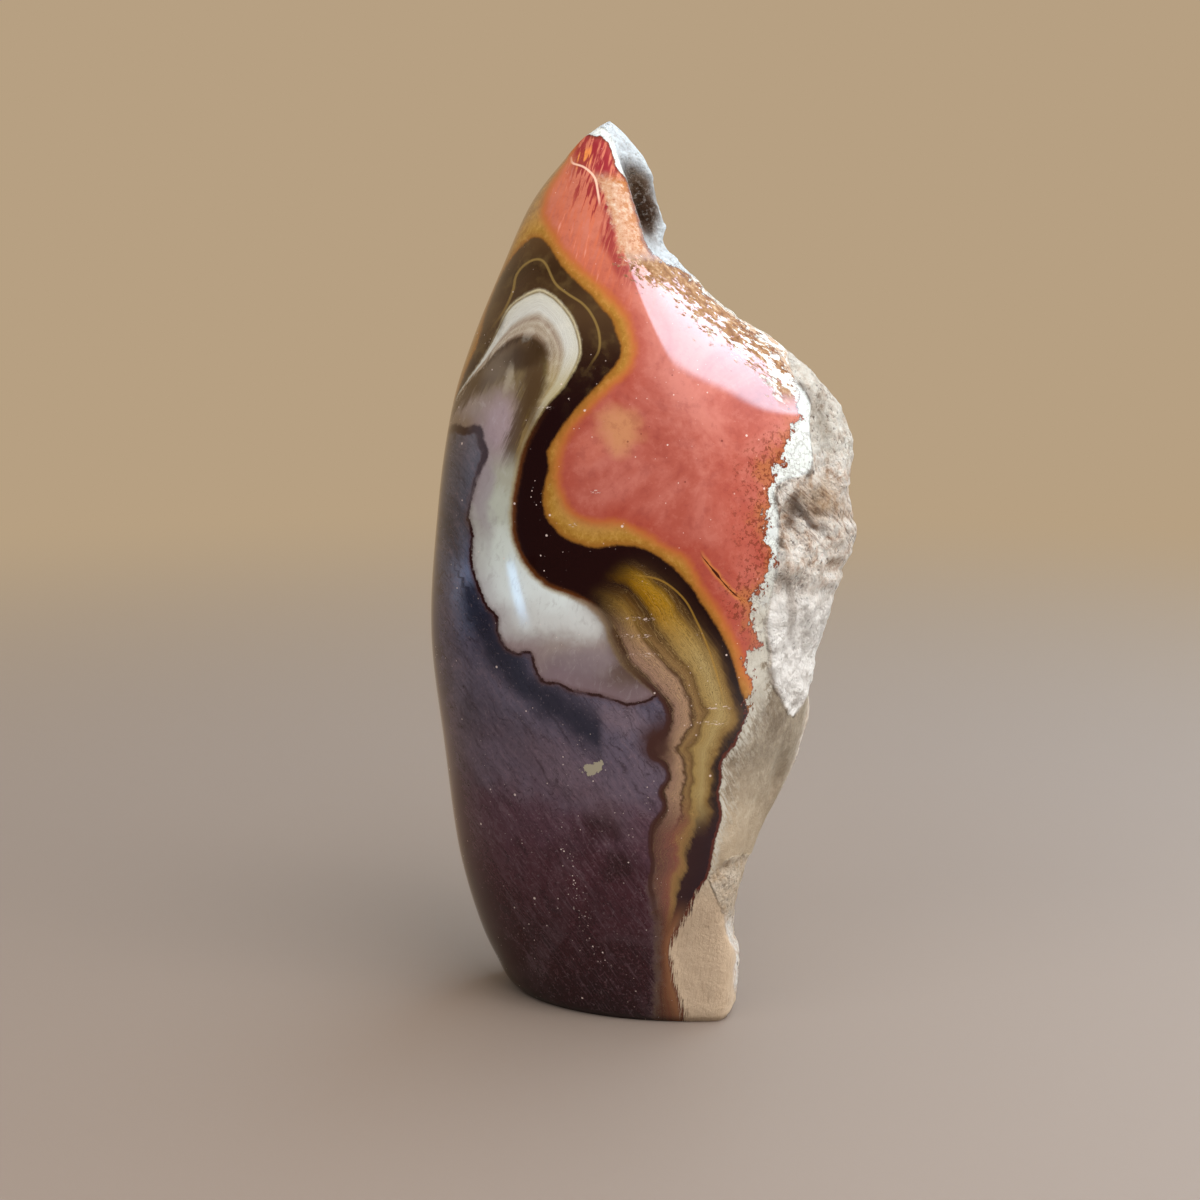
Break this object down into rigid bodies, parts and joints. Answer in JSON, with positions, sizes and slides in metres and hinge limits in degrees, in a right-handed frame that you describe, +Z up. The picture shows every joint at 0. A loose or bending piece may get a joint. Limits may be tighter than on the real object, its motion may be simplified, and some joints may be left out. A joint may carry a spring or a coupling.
{
  "type": "polychrome jasper freeform",
  "caption": "Upright flame-shaped stone with a polished swelling front, natural chalky rind down one side and a flat cut base to stand on.",
  "frame": {"origin": "centre of the bounding box's bottom face, in the plane of the cut base", "axes": "+Z up the stone from its cut base to its tip, +X to the right with the natural rind, +Y away from the viewer, from the banded front to the back"},
  "size_m": [0.0838, 0.0592, 0.1738],
  "materials": {
    "jasper": "high polish on the swelling faces, matt chalky rind on the right side"
  },
  "bodies": {
    "root": {"jasper_freeform": "jasper"}
  },
  "joints": []
}
